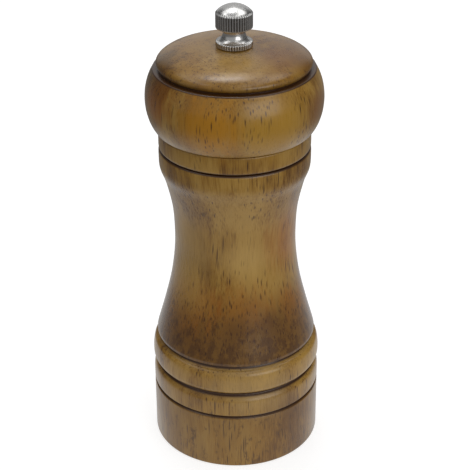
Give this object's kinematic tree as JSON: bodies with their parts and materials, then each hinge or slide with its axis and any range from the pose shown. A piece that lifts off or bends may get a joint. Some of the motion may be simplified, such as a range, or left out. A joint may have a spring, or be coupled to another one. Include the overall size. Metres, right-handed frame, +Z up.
{
  "type": "pepper mill",
  "caption": "Turned wooden pepper mill with a mushroom head, waisted body, beaded foot and knurled steel knob; turning the head grinds and the knob sets coarseness.",
  "frame": {"origin": "centre of the foot ring, on the surface that the mill stands on", "axes": "+Z up along the shaft, +X towards one of the two screws of the retaining bar"},
  "size_m": [0.0608, 0.0608, 0.165],
  "materials": {
    "wood": "stained brown, satin lacquer over open grain",
    "knob_metal": "turned, knurled and polished",
    "steel": "bright drawn steel",
    "spring_steel": "drawn wire",
    "ceramic": "fired white ceramic, unglazed",
    "housing_plastic": "moulded black",
    "acetal": "moulded natural white"
  },
  "bodies": {
    "mill_body": {"body": "wood", "grinder_housing": "housing_plastic", "stator_ring": "ceramic", "retaining_bar": "steel", "bar_screw_1": "steel", "bar_screw_2": "steel"},
    "drive": {"shaft_bush": "acetal", "spring_washer": "steel", "spring": "spring_steel"},
    "shaft_set": {"shaft": "steel", "rotor_hub": "acetal", "rotor_cone": "ceramic", "rotor_washer": "steel", "shaft_clip": "spring_steel"},
    "head_set": {"head": "wood", "turn_plate": "steel", "plate_screw_1": "steel", "plate_screw_2": "steel", "plate_screw_3": "steel"},
    "knob_body": {"knob": "knob_metal"}
  },
  "joints": [
    {"name": "grind_turn", "type": "hinge", "parent": "mill_body", "child": "drive", "pos_m": [0, 0, 0.03], "axis": [0, 0, 1], "continuous": true},
    {"name": "grind_adjust", "type": "slide", "parent": "drive", "child": "shaft_set", "axis": [0, 0, 1], "range_m": [0, 0.0016], "deforming": ["spring"]},
    {"name": "head_lift", "type": "slide", "parent": "drive", "child": "head_set", "axis": [0, 0, 1], "range_m": [0, 0.06]},
    {"name": "knob_turn", "type": "hinge", "parent": "head_set", "child": "knob_body", "pos_m": [0, 0, 0.155], "axis": [0, 0, 1], "range_deg": [-721, 1]}
  ],
  "couplings": [
    {"joint": "knob_turn", "follows": "grind_adjust", "rad_per_m": -7854}
  ]
}
